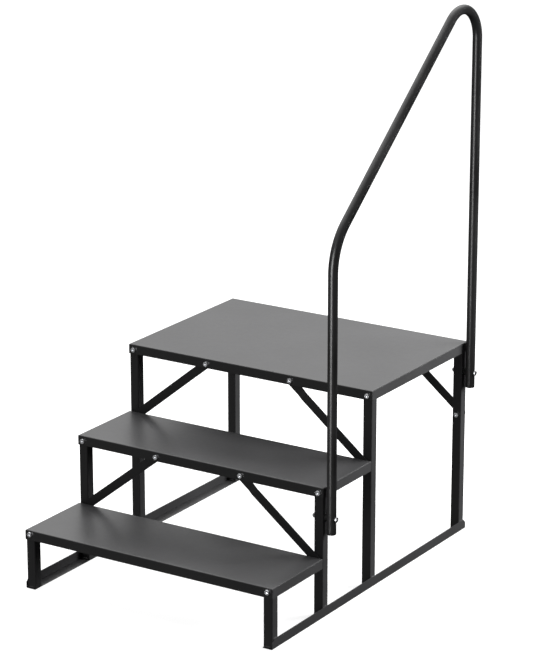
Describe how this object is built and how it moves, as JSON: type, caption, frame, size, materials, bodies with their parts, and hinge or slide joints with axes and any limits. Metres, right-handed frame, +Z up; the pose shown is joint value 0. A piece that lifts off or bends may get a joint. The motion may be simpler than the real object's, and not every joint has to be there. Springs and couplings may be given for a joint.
{
  "type": "mounting block",
  "caption": "Stepped mounting block: bolted steel side frames carry folded sheet treads, with flat braces and one bent tube handrail on the right.",
  "frame": {"origin": "on the floor, at the middle of the whole block's box", "axes": "+X to the rider's right going up, towards the handrail; +Y from the lowest tread to the back of the platform; +Z up"},
  "size_m": [0.6256, 0.791, 1.1657],
  "materials": {
    "frame_steel": "satin black powder coat",
    "tread_sheet": "satin black powder coat on folded sheet",
    "handrail_tube": "smooth satin black powder coat on round tube",
    "black_plastic": "moulded matt black plastic",
    "zinc_bolt": "bright zinc plate",
    "zinc_nut": "zinc plate"
  },
  "bodies": {
    "root": {"floor_rail_left": "frame_steel", "floor_rail_right": "frame_steel", "front_leg_left": "frame_steel", "front_leg_right": "frame_steel", "second_leg_left": "frame_steel", "second_leg_right": "frame_steel", "third_leg_left": "frame_steel", "third_leg_right": "frame_steel", "rear_leg_left": "frame_steel", "rear_leg_right": "frame_steel", "lower_tread": "tread_sheet", "middle_tread": "tread_sheet", "platform": "tread_sheet", "lower_brace_left": "frame_steel", "lower_brace_right": "frame_steel", "upper_brace_left": "frame_steel", "upper_brace_right": "frame_steel", "rear_brace_left": "frame_steel", "rear_brace_right": "frame_steel", "handrail": "handrail_tube", "handrail_saddle_front": "black_plastic", "handrail_saddle_rear": "black_plastic", "handrail_plug_front": "black_plastic", "handrail_plug_rear": "black_plastic", "lower_tread_bolts": "zinc_bolt", "lower_tread_washers": "zinc_nut", "lower_tread_nuts": "zinc_nut", "middle_tread_bolts": "zinc_bolt", "middle_tread_washers": "zinc_nut", "middle_tread_nuts": "zinc_nut", "platform_bolts": "zinc_bolt", "platform_washers": "zinc_nut", "platform_nuts": "zinc_nut", "platform_spacers": "zinc_nut", "brace_bolts": "zinc_bolt", "brace_washers": "zinc_nut", "brace_nuts": "zinc_nut", "rear_foot_bolts": "zinc_bolt", "rear_foot_washers": "zinc_nut", "rear_foot_nuts": "zinc_nut", "handrail_bolts": "zinc_bolt", "handrail_washers": "zinc_nut", "handrail_nuts": "zinc_nut"}
  },
  "joints": []
}
